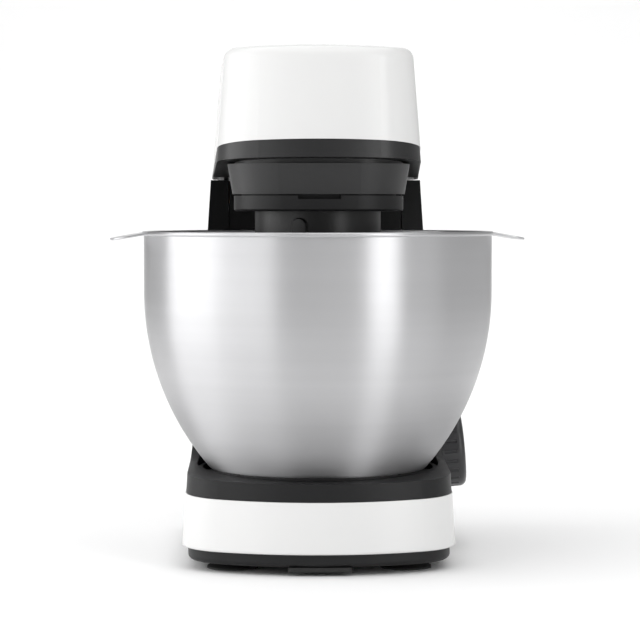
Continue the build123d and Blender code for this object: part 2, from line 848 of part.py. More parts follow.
def make_latch():
    """Flat pawl under the arm's lobe, with a window for the button's stem."""
    low_x = arm_inner_x + 0.2
    high_x = arm_outer_x - 0.2
    top = pivot_z - lobe_radius - 0.6
    pawl = block((low_x, pivot_y - pawl_half, button_z - 28), (high_x, pivot_y + pawl_half, top))
    window = block((0, pivot_y - 5, button_z - 9.5), (wide, pivot_y + 5, button_z + 12.5))
    return pawl - window


def make_latch_guide():
    """Guide round the pawl, with a shelf for the spring under it."""
    front = pivot_y - pawl_half - 4
    rear = pivot_y + pawl_half + 4
    shelf_z = button_z - 50
    head_z = button_z - 26
    top = button_z - 14
    guide = block((guide_low_x, front, head_z), (guide_high_x, rear, top))
    guide += block((guide_low_x, front, shelf_z), (guide_high_x, rear, shelf_z + 3))
    guide += block((guide_low_x, front, shelf_z), (guide_low_x + 3, rear, top))
    slot_low = (arm_inner_x, pivot_y - pawl_half - 0.2, head_z - 1)
    return guide - block(slot_low, (arm_outer_x, pivot_y + pawl_half + 0.2, top + 1))


def make_latch_spring():
    middle_x = (arm_inner_x + arm_outer_x) / 2
    path = Helix(3.0, 17.0, 3.0)
    profile = Plane(origin=path @ 0, z_dir=path % 0) * Circle(0.45)
    coil = sweep(profile, path=path)
    return Pos(middle_x, pivot_y, button_z - 46.2) * coil


# ---- head pieces ----
def make_head_shell():
    shell = head_form(0, head_edge) - head_form(head_wall, head_edge - head_wall)
    shell -= under_line(split_front_z, split_slope)
    skin = head_form(head_wall / 2, 0)
    for side in (-1, 1):
        low, high = sorted((side * arm_outer_x, side * head_rear_half))
        bore_low, bore_high = sorted((side * arm_inner_x, side * (arm_outer_x + 2.5)))
        for y in arm_screw_places:
            shell += cross_rod(arm_boss, low, high, y, arm_screw_z) & skin
            shell -= cross_rod(arm_screw_bore, bore_low, bore_high, y, arm_screw_z)
    return shell


def make_head_lower():
    band = head_form(band_inset, 0)
    band &= under_line(split_front_z, split_slope)
    band -= under_line(band_front_z, band_slope)
    inner = head_form(band_inset + band_wall, 0)
    inner -= under_line(band_front_z, band_slope, band_floor)
    band -= inner
    band -= block((-wide, band_end_y, 0), (wide, wide, wide))
    drum = Pos(0, 0, drum_bottom_z) * extrude(
        drum_plan(drum_half, drum_front, drum_rear, 0),
        amount=drum_top_z - drum_bottom_z,
        taper=-drum_draft,
    )
    neck = Pos(0, 0, drum_bottom_z) * extrude(
        drum_plan(drum_half, drum_front, drum_rear, neck_inset), amount=30
    )
    neck &= under_line(band_front_z, band_slope, 1.5)
    cavity = Pos(0, 0, drum_bottom_z + drum_wall) * extrude(
        drum_plan(drum_half, drum_front, drum_rear, neck_inset + drum_wall), amount=40
    )
    lower = band + drum + neck - cavity
    return lower - rod(neck_radius + fit_gap, drum_bottom_z - 10, pivot_z + 8)


def make_gear_cover():
    outer = drum_plan(cover_half, drum_front + 0.5, drum_rear - 1, 0)
    inner = drum_plan(cover_half, drum_front, drum_rear, 4.5)
    cover = Pos(0, 0, cover_bottom_z) * extrude(outer, amount=cover_top_z - cover_bottom_z)
    cover = fillet(cover.edges().group_by(Axis.Z)[0], 1.5)
    step_z = cover_top_z - 1
    cover += Pos(0, 0, step_z) * extrude(inner, amount=drum_bottom_z - step_z)
    cover += rod(neck_radius, step_z, gear_plate_z)
    cover -= rod(carrier_radius + 0.8, 0, wide)
    cover -= rod(ring_outer + running_gap, ring_bottom_z, wide)
    half = notch_width / 2
    notch_z = cover_top_z - notch_height
    return cover - block((-half, -wide, notch_z), (half, drum_front + 8, pivot_z + 8))


def make_ring_gear():
    ring = rod(ring_outer, ring_bottom_z, ring_bottom_z + ring_width)
    inner = extrude(gear_outline(ring_teeth, planet_module, inner=True), amount=ring_width + 10)
    return ring - Pos(0, 0, ring_bottom_z - 5) * inner


def make_gear_plate():
    plate = rod(neck_radius, gear_plate_z, gear_plate_z + gear_plate_thick)
    top = bearing_z + 2 * bearing_length + bearing_step
    shoulder = bearing_z + bearing_length + running_gap
    plate += rod(plate_hub, bearing_z, top)
    plate -= rod(bearing_radius, 0, wide)
    plate += tube(plate_hub, bearing_radius - 0.8, shoulder, shoulder + bearing_step - 2 * running_gap)
    x, y = idler_spot()
    return plate - rod(idler_bush_radius, 0, wide, x, y)


def idler_spot():
    """Where the idler shaft stands, in plan."""
    turn = math.radians(idler_angle)
    return drive_distance * math.cos(turn), drive_distance * math.sin(turn)


def make_main_bearings():
    bearing = tube(
        bearing_radius - running_gap, shaft_radius + running_gap, bearing_z, bearing_z + bearing_length
    )
    return Compound(children=[bearing, Pos(0, 0, bearing_length + bearing_step) * bearing])


def make_idler_bushes():
    x, y = idler_spot()
    outer = idler_bush_radius - running_gap
    bore = idler_radius + running_gap
    low = tube(outer, bore, gear_plate_z, gear_plate_z + gear_plate_thick, x, y)
    high = tube(outer, bore, chassis_z, chassis_z + chassis_thick + 2, x, y)
    return Compound(children=[low, high])


def make_chassis():
    x, y = idler_spot()
    top = chassis_z + chassis_thick
    plate = Sketch() + make_hull(
        (Pos(0, motor_y) * Circle(34)).edges()
        + (Pos(x, y) * Circle(9)).edges()
        + (Pos(30, 0) * Circle(6)).edges()
    )
    chassis = Pos(0, 0, chassis_z) * extrude(plate, amount=chassis_thick)
    for leg_x, leg_y in chassis_legs:
        arm_end = (leg_x * 0.3, motor_y * 0.6)
        length = math.hypot(leg_x - arm_end[0], leg_y - arm_end[1])
        turn = math.degrees(math.atan2(leg_y - arm_end[1], leg_x - arm_end[0]))
        middle = ((leg_x + arm_end[0]) / 2, (leg_y + arm_end[1]) / 2)
        place = Pos(*middle, chassis_z + chassis_thick / 2) * Rot(0, 0, turn)
        chassis += place * Box(length, 2 * leg_radius, chassis_thick)
        floor = slope_z(band_front_z, band_slope, leg_y) + band_floor
        chassis += rod(leg_radius, floor + 0.2, top, leg_x, leg_y)
    chassis += rod(motor_bearing_radius + 2.5, chassis_z - 1, top + 1, 0, motor_y)
    chassis -= rod(motor_bearing_radius, chassis_z - 5, top + 5, 0, motor_y)
    chassis += rod(idler_bush_radius + 2, chassis_z, top + 2, x, y)
    chassis -= rod(idler_bush_radius, chassis_z - 5, top + 5, x, y)
    for pillar_x, pillar_y in motor_pillars():
        chassis += rod(pillar_radius, top - 1, bracket_top_z, pillar_x, pillar_y)
    return chassis


def motor_pillars():
    """Four pillars round the stator, on the diagonals."""
    reach = pillar_circle * math.cos(math.radians(45))
    return [(sx * reach, motor_y + sy * reach) for sx in (-1, 1) for sy in (-1, 1)]


def make_top_bracket():
    """Cross of two bars over the motor, with the upper bearing's seat."""
    low = bracket_top_z - 1
    bracket = rod(motor_bearing_radius + 4, low, low + motor_bearing_length, 0, motor_y)
    for turn in (45, 135):
        bar = Box(2 * pillar_circle + 6, 9, 3)
        bracket += Pos(0, motor_y, bracket_top_z + 1.5) * Rot(0, 0, turn) * bar
    return bracket - rod(motor_bearing_radius, 0, wide, 0, motor_y)


def make_motor_bearings():
    bearings = []
    for bottom in (chassis_z - 1, bracket_top_z - 1):
        top = bottom + motor_bearing_length
        bore = motor_shaft_radius + running_gap
        bearings.append(tube(motor_bearing_radius - running_gap, bore, bottom, top, 0, motor_y))
    return Compound(children=bearings)


def make_stator():
    """Laminated ring with two poles round the rotor."""
    yoke = stator_bore + 4.8
    ring = tube(stator_radius, yoke, stator_bottom_z, stator_top_z, 0, motor_y)
    poles = tube(yoke + 1, stator_bore, stator_bottom_z, stator_top_z, 0, motor_y)
    for side in (-1, 1):
        low, high = sorted((side * 9.0, side * wide))
        poles -= block((low, motor_y - 9, 0), (high, motor_y + 9, wide))
    stator = ring + poles
    for x, y in motor_pillars():
        stator -= rod(pillar_radius + 0.6, 0, wide, x, y)
    return stator


def make_windings():
    low_z = stator_bottom_z - 1.2
    high_z = stator_top_z + 1.2
    room = tube(stator_bore + 4.7, stator_bore + 0.1, low_z, high_z, 0, motor_y)
    coils = []
    for side in (-1, 1):
        low, high = sorted((side * (stator_bore + 0.2), side * (stator_bore + 4.6)))
        coils.append(block((low, motor_y - 8.6, low_z), (high, motor_y + 8.6, high_z)) & room)
    return Compound(children=coils)


def make_brushes():
    """Two carbon brushes in their holders, pressing on the commutator."""
    brushes = []
    brush_z = bracket_top_z - 5.5
    for side in (-1, 1):
        low, high = sorted((side * (commutator_radius + 0.3), side * 20))
        brush = block((low, motor_y - 2.5, brush_z), (high, motor_y + 2.5, brush_z + 3))
        low, high = sorted((side * 12, side * 22))
        holder = block((low, motor_y - 4, brush_z - 1), (high, motor_y + 4, bracket_top_z))
        brushes.append(brush)
        brushes.append(holder - brush)
    return Compound(children=brushes)


def belt_loop(extra):
    """Plan outline round both pulleys, a distance outside them."""
    x, y = idler_spot()
    large = large_pulley + extra
    small = small_pulley + extra
    heading = math.atan2(y - motor_y, x)
    lean = math.acos((small - large) / math.hypot(x, y - motor_y))
    corners = []
    for radius, centre_x, centre_y_plan, sign in (
        (small, 0, motor_y, 1),
        (large, x, y, 1),
        (large, x, y, -1),
        (small, 0, motor_y, -1),
    ):
        turn = heading + sign * lean
        corners.append((centre_x + radius * math.cos(turn), centre_y_plan + radius * math.sin(turn)))
    face = Sketch() + make_face(Polyline(*corners, close=True))
    face += Pos(0, motor_y) * Circle(small)
    face += Pos(x, y) * Circle(large)
    return face


def make_belt():
    """Flat belt round the two pulleys."""
    outer = extrude(belt_loop(belt_gap + belt_thick), amount=belt_width)
    inner = extrude(belt_loop(belt_gap), amount=belt_width)
    return Pos(0, 0, pulley_z + (pulley_height - belt_width) / 2) * (outer - inner)


def hinge_arm(side, lobe):
    """Steel arm from the head to the pin; one has a locking lobe."""
    low, high = sorted((side * arm_inner_x, side * arm_outer_x))
    front_y = arm_screw_places[0] - 6
    outline = [
        (front_y, pivot_z + 15),
        (pivot_y - 48, pivot_z + 13.5),
        (pivot_y - 32, pivot_z + 9.5),
        (pivot_y - 10, pivot_z + 9.2),
        (pivot_y + 4, pivot_z + 10),
        (pivot_y - 24, pivot_z + 30),
        (front_y, pivot_z + 30),
    ]
    arm = side_slab(outline, low, high)
    arm += cross_rod(arm_eye, low, high, pivot_y, pivot_z)
    if lobe:
        sector = cross_rod(lobe_radius, low, high, pivot_y, pivot_z)
        arm += sector & block((-wide, pivot_y - 28, 0), (wide, pivot_y + 28, pivot_z + 4))
    for y in arm_screw_places:
        arm -= cross_rod(arm_screw_bore, -wide, wide, y, arm_screw_z)
    return arm - cross_rod(bush_radius, -wide, wide, pivot_y, pivot_z)


def make_arm_bushes():
    bushes = []
    for side in (-1, 1):
        low, high = sorted((side * (arm_inner_x - 0.6), side * arm_outer_x))
        ring = cross_rod(bush_radius - running_gap, low, high, pivot_y, pivot_z)
        bushes.append(ring - cross_rod(pin_radius + running_gap, -wide, wide, pivot_y, pivot_z))
    return Compound(children=bushes)


# ---- turning pieces in the head ----
def make_carrier():
    carrier = rod(carrier_radius, carrier_bottom_z, carrier_top_z)
    carrier = fillet(carrier.edges().group_by(Axis.Z)[0], 3.0)
    boss_y = -math.sqrt(carrier_radius**2 - boss_x**2)
    boss_top = carrier_bottom_z + 15
    boss = rod(boss_radius, carrier_bottom_z + 4, boss_top, boss_x, boss_y)
    boss += Pos(boss_x, boss_y, boss_top) * Sphere(boss_radius)
    carrier += boss & rod(carrier_radius + boss_proud, 0, wide)
    carrier -= rod(shaft_radius, 0, wide)
    x, y = spindle_spot()
    carrier -= rod(shaft_radius + running_gap, 0, wide, x, y)
    return carrier


def spindle_spot():
    """The planet starts straight behind the main shaft."""
    return 0.0, planet_orbit


def make_spindle():
    x, y = spindle_spot()
    return rod(shaft_radius, spindle_bottom_z, ring_bottom_z + ring_width, x, y)


def make_planet():
    x, y = spindle_spot()
    bottom = ring_bottom_z + 1
    top = bottom + planet_width
    solid = gear(planet_teeth, planet_module, bottom, top, shaft_radius, planet_turn())
    return Pos(x, y, 0) * solid


def planet_turn():
    """At 90 degrees the ring has a tooth, so the planet shows a gap there."""
    return 90 + 180 / planet_teeth


def make_cross_pin():
    x, y = spindle_spot()
    pin = Rot(90, 0, 0) * Cylinder(cross_pin_radius, 2 * whisk_hub_radius)
    return Pos(x, y, cross_pin_z) * (pin - Cylinder(shaft_radius, 10))


def make_whisk_hub():
    x, y = spindle_spot()
    shoulder = whisk_hub_bottom_z + hub_cone
    hub = rod(whisk_hub_radius, shoulder, whisk_hub_top_z)
    hub += Pos(0, 0, shoulder - hub_cone / 2) * Cone(whisk_hub_radius - 2, whisk_hub_radius, hub_cone)
    hub -= rod(shaft_radius, spindle_bottom_z, whisk_hub_top_z + 10)
    pin_hole = Rot(90, 0, 0) * Cylinder(cross_pin_radius + running_gap, 30)
    return Pos(x, y, 0) * (hub - Pos(0, 0, cross_pin_z) * pin_hole)


def make_whisk_wires():
    x, y = spindle_spot()
    root_z = whisk_hub_bottom_z - 0.9
    wires = []
    for i in range(wire_loops):
        radius = whisk_radius - i * loop_step
        rise = root_z - whisk_centre_z
        far = math.hypot(wire_root, rise)
        turn = math.atan2(rise, wire_root) - math.acos(radius / far)
        touch = (radius * math.cos(turn), whisk_centre_z + radius * math.sin(turn))
        path = Line((wire_root, root_z), touch)
        path += ThreePointArc(touch, (0, whisk_centre_z - radius), (-touch[0], touch[1]))
        path += Line((-touch[0], touch[1]), (-wire_root, root_z))
        path = Plane.XZ * path
        lean = (touch[0] - wire_root, 0, touch[1] - root_z)
        section = Plane(origin=(wire_root, 0, root_z), z_dir=lean) * Circle(wire_radius)
        wires.append(Rot(0, 0, i * 180 / wire_loops) * sweep(section, path=Wire(path.edges())))
    return Pos(x, y, 0) * Compound(children=wires)


def make_pulley(radius, bore, x, y):
    top = pulley_z + pulley_height
    pulley = rod(radius, pulley_z, top, x, y)
    pulley += rod(radius + pulley_rim, pulley_z, pulley_z + 0.7, x, y)
    pulley += rod(radius + pulley_rim, top - 0.7, top, x, y)
    return pulley - rod(bore, 0, wide, x, y)


def make_fan():
    fan = tube(8, motor_shaft_radius, fan_z, fan_z + 2.6, 0, motor_y)
    fan += tube(fan_radius, 6, fan_z, fan_z + 0.6, 0, motor_y)
    blade = Pos(fan_radius - 8.5, 0, fan_z + 1.5) * Rot(0, 0, 18) * Box(15, 1.0, 2.0)
    for i in range(12):
        fan += Pos(0, motor_y, 0) * Rot(0, 0, i * 30) * blade
    return fan


def make_rotor():
    rotor = rod(rotor_radius, stator_bottom_z, stator_top_z, 0, motor_y)
    middle_z = (stator_bottom_z + stator_top_z) / 2
    slot = Pos(rotor_radius - 0.6, 0, middle_z) * Box(5, 1.6, 60)
    for i in range(rotor_slots):
        rotor -= Pos(0, motor_y, 0) * Rot(0, 0, i * 360 / rotor_slots) * slot
    return rotor - rod(motor_shaft_radius, 0, wide, 0, motor_y)


def make_commutator():
    low = bracket_top_z - 7.5
    drum = tube(commutator_radius, motor_shaft_radius, low, low + 6, 0, motor_y)
    cut = Pos(commutator_radius + 0.1, 0, low + 3) * Box(1.6, 0.5, 10)
    for i in range(rotor_slots):
        drum -= Pos(0, motor_y, 0) * Rot(0, 0, i * 360 / rotor_slots) * cut
    return drum


# ---- screws and electrics ----
def make_case_screws():
    one = Pos(0, 0, foot_height + 2.8) * Rot(180, 0, 0) * screw(case_screw_radius, 24, 1.8)
    return Compound(children=[Pos(x, y, 0) * one for x, y in case_screws()])


def make_bracket_screws():
    one = Pos(0, pivot_y, bracket_z + bracket_sheet) * screw(bracket_screw_radius, 14, 2.4)
    return Compound(children=[Pos(x, 0, 0) * one for x in (-bracket_screw_x, bracket_screw_x)])


def make_arm_screws():
    """Screws that clamp the arms to the dark casing's side walls."""
    screws = []
    for side in (-1, 1):
        for y in arm_screw_places:
            place = Pos(side * arm_inner_x, y, arm_screw_z) * Rot(0, -90 * side, 0)
            screws.append(place * screw(arm_screw_radius, 5.2, 2.0))
    return Compound(children=screws)


def make_control_board():
    """Board with a capacitor, a choke and a connector."""
    top = board_z + 1.6
    front = board_front_y
    board = block((-board_half, front, board_z), (board_half, board_rear_y, top))
    capacitor = rod(6.5, top, top + 16, -24, front + 14)
    choke = block((-8, front + 6, top), (8, front + 22, top + 12))
    connector = block((18, front + 6, top), (34, front + 18, top + 9))
    return Compound(children=[board, capacitor, choke, connector])


def main():
    os.makedirs("parts", exist_ok=True)
    save("suction_feet", make_suction_feet())
    save("bottom_pan", make_bottom_pan())
    save("front_pad", make_front_pad())
    save("base_shell", make_base_shell())
    save("cord_gland", make_cord_gland())
    column = make_column_shell()
    save("column_shell", column - back_region(0))
    save("column_back", column & back_region(fit_gap))
    save("hinge_barrel", make_hinge_barrel())
    save("hinge_bracket", make_hinge_bracket())
    save("hinge_pin", cross_rod(pin_radius, -pin_half, pin_half, pivot_y, pivot_z))
    save("pin_clips", make_pin_clips())
    save("bowl_seat_ring", make_seat_ring())
    save("latch_guide", make_latch_guide())
    save("latch_spring", make_latch_spring())
    save("rotary_switch", make_switch())
    save("knob_bezel", make_bezel())
    save("control_board", make_control_board())
    save("case_screws", make_case_screws())
    save("bracket_screws", make_bracket_screws())
    save("speed_knob", make_knob())
    save("knob_pointer", make_pointer())
    save("switch_shaft", make_switch_shaft())
    save("release_button", make_button())
    save("latch_pawl", make_latch())
    save("bowl", make_bowl())
    save("bowl_foot", make_bowl_foot())
    save("head_shell", make_head_shell())
    save("head_lower", make_head_lower())
    save("gear_cover", make_gear_cover())
    save("ring_gear", make_ring_gear())
    save("gear_plate", make_gear_plate())
    save("main_bearings", make_main_bearings())
    save("idler_bushes", make_idler_bushes())
    save("chassis_plate", make_chassis())
    save("motor_top_bracket", make_top_bracket())
    save("motor_bearings", make_motor_bearings())
    save("motor_stator", make_stator())
    save("motor_windings", make_windings())
    save("motor_brushes", make_brushes())
    save("drive_belt", make_belt())
    save("hinge_arm_left", hinge_arm(-1, False))
    save("hinge_arm_right", hinge_arm(1, True))
    save("arm_bushes", make_arm_bushes())
    save("arm_screws", make_arm_screws())
    save("planet_carrier", make_carrier())
    shaft_top = pulley_z - 0.5
    save("main_shaft", rod(shaft_radius, carrier_bottom_z + 4, shaft_top))
    gear_top = drive_gear_z + drive_gear_width
    save("drive_gear", gear(drive_teeth, drive_module, drive_gear_z, gear_top, shaft_radius, idler_angle))
    save("tool_spindle", make_spindle())
    save("planet_gear", make_planet())
    save("tool_cross_pin", make_cross_pin())
    save("whisk_hub", make_whisk_hub())
    save("whisk_wires", make_whisk_wires())
    x, y = idler_spot()
    save("idler_shaft", rod(idler_radius, gear_plate_z + 0.3, chassis_z + 4.5, x, y))
    pinion_angle = idler_angle + 180 + 180 / pinion_teeth
    pinion_bottom = drive_gear_z - 0.3
    pinion = gear(pinion_teeth, drive_module, pinion_bottom, shaft_top, idler_radius, pinion_angle)
    save("idler_pinion", Pos(x, y, 0) * pinion)
    save("idler_pulley", make_pulley(large_pulley, idler_radius, x, y))
    save("motor_shaft", rod(motor_shaft_radius, pulley_z - 2, bracket_top_z + 5, 0, motor_y))
    save("motor_rotor", make_rotor())
    save("commutator", make_commutator())
    save("motor_fan", make_fan())
    save("motor_pulley", make_pulley(small_pulley, motor_shaft_radius, 0, motor_y))


main()
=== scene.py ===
# %% [markdown]
# # A tilt-head stand mixer
#
# This lesson dresses a finished mechanical model of a small stand mixer: a white
# head and base skirt, a black column and tray, a steel bowl with two ears, and a
# planetary whisk. The mechanical model is loaded as a fixed frame, and every piece
# made here rides on one of its bodies, so it moves when the head tilts.

# %% Load the frame
import json
import math
import bmesh
import bpy
from mathutils import Matrix, Vector


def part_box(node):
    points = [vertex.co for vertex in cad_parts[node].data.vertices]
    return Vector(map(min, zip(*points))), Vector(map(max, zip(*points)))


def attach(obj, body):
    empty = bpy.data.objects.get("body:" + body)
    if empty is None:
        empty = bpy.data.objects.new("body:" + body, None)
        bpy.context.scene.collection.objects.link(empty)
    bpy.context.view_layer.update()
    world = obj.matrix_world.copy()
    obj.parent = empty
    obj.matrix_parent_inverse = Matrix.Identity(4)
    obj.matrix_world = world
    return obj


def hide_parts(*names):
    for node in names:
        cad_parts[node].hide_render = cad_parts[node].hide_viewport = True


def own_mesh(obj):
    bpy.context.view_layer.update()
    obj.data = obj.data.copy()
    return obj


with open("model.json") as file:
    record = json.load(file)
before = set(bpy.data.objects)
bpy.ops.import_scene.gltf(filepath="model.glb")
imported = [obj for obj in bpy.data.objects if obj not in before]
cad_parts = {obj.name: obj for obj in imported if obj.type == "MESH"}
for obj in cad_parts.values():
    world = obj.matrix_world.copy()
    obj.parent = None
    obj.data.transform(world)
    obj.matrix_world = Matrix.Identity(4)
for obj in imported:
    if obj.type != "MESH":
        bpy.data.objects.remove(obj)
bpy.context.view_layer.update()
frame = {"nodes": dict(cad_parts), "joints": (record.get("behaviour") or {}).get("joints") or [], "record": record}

nodes = frame["nodes"]

# %% [markdown]
# ## Places taken from the frame
#
# The bowl is the middle of everything: the camera looks at its axis, the brushing
# of its steel runs round it, and the planet carrier turns above it. Its axis is the
# the place of the carrier's joint, because the two ears are not quite in line with the
# mixer, and so the middle of the bowl's own box is no help.

# %% The bowl's axis
bowl_floor_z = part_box("bowl")[0].z
carrier_place = next(j["pos_m"] for j in frame["joints"] if j["name"] == "carrier_spin")
bowl_axis = Vector((carrier_place[0], carrier_place[1], 0.0))
print("bowl axis at", tuple(round(v, 4) for v in bowl_axis))

# %% [markdown]
# ## Materials
#
# Each finish is a short function that builds a node tree. Mouldings of plastic are
# never perfectly even: gloss parts have a faint orange-peel waviness, and matte
# parts have the fine grain that is etched into the mould. Both are noise, seen at
# different scales through a bump node.

# %% A helper for materials
def start_material(name, colour, roughness, metallic=0.0):
    """A material with its shader's plain values set; returns it with its tree."""
    material = bpy.data.materials.new(name)
    material.use_nodes = True
    tree = material.node_tree
    shader = tree.nodes["Principled BSDF"]
    shader.inputs["Base Color"].default_value = (*colour, 1.0)
    shader.inputs["Roughness"].default_value = roughness
    shader.inputs["Metallic"].default_value = metallic
    return material, tree, shader


def object_position(tree):
    """Positions on the piece, in metres, as a socket."""
    return tree.nodes.new("ShaderNodeTexCoord").outputs["Object"]


def noise(tree, vector, scale, detail=2.0, roughness=0.5):
    """A noise texture's value; scale is in waves per metre."""
    node = tree.nodes.new("ShaderNodeTexNoise")
    node.inputs["Scale"].default_value = scale
    node.inputs["Detail"].default_value = detail
    node.inputs["Roughness"].default_value = roughness
    tree.links.new(vector, node.inputs["Vector"])
    return node.outputs["Fac"]


def spread(tree, value, low, high):
    """Maps a 0 to 1 value onto a range."""
    node = tree.nodes.new("ShaderNodeMapRange")
    node.inputs["To Min"].default_value = low
    node.inputs["To Max"].default_value = high
    tree.links.new(value, node.inputs["Value"])
    return node.outputs["Result"]


def add_bump(tree, shader, height, depth):
    """Raises the surface by a height value; depth is in metres."""
    node = tree.nodes.new("ShaderNodeBump")
    node.inputs["Strength"].default_value = 1.0
    node.inputs["Distance"].default_value = depth
    tree.links.new(height, node.inputs["Height"])
    tree.links.new(node.outputs["Normal"], shader.inputs["Normal"])


def vary_roughness(tree, shader, value, low, high):
    """Lets a 0 to 1 value move the shader's roughness between two numbers."""
    tree.links.new(spread(tree, value, low, high), shader.inputs["Roughness"])


def mix_colours(tree, factor, first, second):
    """Blends two plain colours by a value."""
    node = tree.nodes.new("ShaderNodeMix")
    node.data_type = "RGBA"
    node.inputs["A"].default_value = (*first, 1.0)
    node.inputs["B"].default_value = (*second, 1.0)
    tree.links.new(factor, node.inputs["Factor"])
    return node.outputs["Result"]


print("material helpers ready")

# %% Gloss and grained plastics
def gloss_plastic(name, colour, roughness=0.22, peel=0.000008):
    """A shiny moulding: soft waviness, and a roughness that varies a little."""
    material, tree, shader = start_material(name, colour, roughness)
    place = object_position(tree)
    wide = noise(tree, place, 9.0, 1.0)
    fine = noise(tree, place, 520.0, 2.0)
    vary_roughness(tree, shader, wide, roughness - 0.01, roughness + 0.02)
    shade = tuple(c * 0.99 for c in colour)
    tree.links.new(mix_colours(tree, wide, colour, shade), shader.inputs["Base Color"])
    add_bump(tree, shader, fine, peel)
    shader.inputs["IOR"].default_value = 1.49
    return material


def grained_plastic(name, colour, roughness=0.5, grain=900.0, depth=0.00006, gloss=0.5):
    """A matte moulding with the even grain of an etched mould."""
    material, tree, shader = start_material(name, colour, roughness)
    place = object_position(tree)
    cells = noise(tree, place, grain, 3.0, 0.6)
    wide = noise(tree, place, 30.0, 2.0)
    vary_roughness(tree, shader, wide, roughness - 0.05, roughness + 0.07)
    lighter = tuple(c * 1.35 for c in colour)
    tree.links.new(mix_colours(tree, cells, colour, lighter), shader.inputs["Base Color"])
    add_bump(tree, shader, cells, depth)
    shader.inputs["Specular IOR Level"].default_value = gloss
    return material


white_plastic = gloss_plastic("white_plastic", (0.76, 0.76, 0.755), 0.26)
black_plastic = grained_plastic("black_plastic", (0.006, 0.006, 0.0065), 0.42, gloss=0.3)
grey_plastic = grained_plastic("grey_plastic", (0.010, 0.010, 0.0105), 0.36, 1100.0, 0.00004)
knob_plastic = gloss_plastic("knob_plastic", (0.035, 0.035, 0.037), 0.30)
soft_rubber = grained_plastic("soft_rubber", (0.012, 0.012, 0.012), 0.7, 600.0, 0.00008)
print("plastics:", white_plastic.name, black_plastic.name, grey_plastic.name)

# %% [markdown]
# ## Steel
#
# The bowl was pressed and then polished while it turned, so its marks run round its
# axis. The noise is therefore read in rings: its position is the height and the
# distance from the axis, drawn out very long in the direction of turning. Towards the
# foot the side turns under and mirrors the black tray, so the roughness grows by a half
# over the lowest few centimetres, to soften that reflection. This is a choice for the
# look: how such a bowl is polished there isn't known.

# %% Turned and plain metals
def turned_position(tree, centre):
    """Position as (angle, radius, height) about an upright axis, as a socket."""
    place = object_position(tree)
    shift = tree.nodes.new("ShaderNodeVectorMath")
    shift.operation = "SUBTRACT"
    shift.inputs[1].default_value = centre
    tree.links.new(place, shift.inputs[0])
    parts = tree.nodes.new("ShaderNodeSeparateXYZ")
    tree.links.new(shift.outputs["Vector"], parts.inputs["Vector"])
    angle = tree.nodes.new("ShaderNodeMath")
    angle.operation = "ARCTAN2"
    tree.links.new(parts.outputs["Y"], angle.inputs[0])
    tree.links.new(parts.outputs["X"], angle.inputs[1])
    squares = tree.nodes.new("ShaderNodeVectorMath")
    squares.operation = "MULTIPLY"
    squares.inputs[1].default_value = (1.0, 1.0, 0.0)
    tree.links.new(shift.outputs["Vector"], squares.inputs[0])
    radius = tree.nodes.new("ShaderNodeVectorMath")
    radius.operation = "LENGTH"
    tree.links.new(squares.outputs["Vector"], radius.inputs[0])
    slow = tree.nodes.new("ShaderNodeMath")
    slow.operation = "MULTIPLY"
    slow.inputs[1].default_value = 0.002
    tree.links.new(angle.outputs["Value"], slow.inputs[0])
    joined = tree.nodes.new("ShaderNodeCombineXYZ")
    tree.links.new(slow.outputs["Value"], joined.inputs["X"])
    tree.links.new(radius.outputs["Value"], joined.inputs["Y"])
    tree.links.new(parts.outputs["Z"], joined.inputs["Z"])
    return joined.outputs["Vector"]


dull_foot_low = bowl_floor_z + 0.012
dull_foot_high = bowl_floor_z + 0.060
dull_foot_share = 1.5


def turned_steel(name, centre, colour, roughness):
    """Steel polished in a lathe: fine rings of scratches round its axis."""
    material, tree, shader = start_material(name, colour, roughness, 1.0)
    rings = turned_position(tree, centre)
    scratches = noise(tree, rings, 2600.0, 4.0, 0.7)
    bands = noise(tree, rings, 160.0, 2.0)
    smear = noise(tree, object_position(tree), 22.0, 2.0)
    side_polish = spread(tree, smear, roughness - 0.03, roughness + 0.05)
    heights = tree.nodes.new("ShaderNodeSeparateXYZ")
    tree.links.new(rings, heights.inputs["Vector"])
    foot = tree.nodes.new("ShaderNodeMapRange")
    foot.interpolation_type = "SMOOTHSTEP"
    foot.inputs["From Min"].default_value = dull_foot_low
    foot.inputs["From Max"].default_value = dull_foot_high
    foot.inputs["To Min"].default_value = dull_foot_share
    foot.inputs["To Max"].default_value = 1.0
    tree.links.new(heights.outputs["Z"], foot.inputs["Value"])
    polish = tree.nodes.new("ShaderNodeMath")
    polish.operation = "MULTIPLY"
    tree.links.new(side_polish, polish.inputs[0])
    tree.links.new(foot.outputs["Result"], polish.inputs[1])
    tree.links.new(polish.outputs["Value"], shader.inputs["Roughness"])
    darker = tuple(c * 0.93 for c in colour)
    tree.links.new(mix_colours(tree, bands, colour, darker), shader.inputs["Base Color"])
    add_bump(tree, shader, scratches, 0.0000035)
    shader.inputs["Anisotropic"].default_value = 0.9
    shader.inputs["Anisotropic Rotation"].default_value = 0.25
    around = tree.nodes.new("ShaderNodeTangent")
    around.direction_type = "RADIAL"
    around.axis = "Z"
    tree.links.new(around.outputs["Tangent"], shader.inputs["Tangent"])
    return material


def plain_metal(name, colour, roughness, grain=700.0, depth=0.00001):
    """Machined or cast metal with a light, even grain."""
    material, tree, shader = start_material(name, colour, roughness, 1.0)
    place = object_position(tree)
    grains = noise(tree, place, grain, 3.0)
    wide = noise(tree, place, 60.0, 2.0)
    vary_roughness(tree, shader, wide, roughness - 0.05, roughness + 0.08)
    darker = tuple(c * 0.9 for c in colour)
    tree.links.new(mix_colours(tree, wide, colour, darker), shader.inputs["Base Color"])
    add_bump(tree, shader, grains, depth)
    return material


